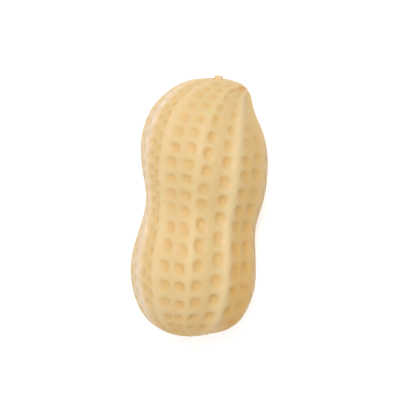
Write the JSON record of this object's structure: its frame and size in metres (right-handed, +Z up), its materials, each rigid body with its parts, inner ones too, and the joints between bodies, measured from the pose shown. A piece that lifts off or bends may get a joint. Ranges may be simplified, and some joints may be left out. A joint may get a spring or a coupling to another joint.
{
  "type": "peanut",
  "caption": "Whole peanut in its shell: a pod with a waist, ribs from end to end, pits between the ribs and a short stalk stub.",
  "frame": {"origin": "middle of the pod's underside, on the surface it lies on", "axes": "+Z up, +Y along the pod towards the stalk end, +X across it towards the shaded flank of the picture"},
  "size_m": [0.0202, 0.0388, 0.0184],
  "materials": {
    "shell": "satin"
  },
  "bodies": {
    "root": {"peanut": "shell"}
  },
  "joints": []
}
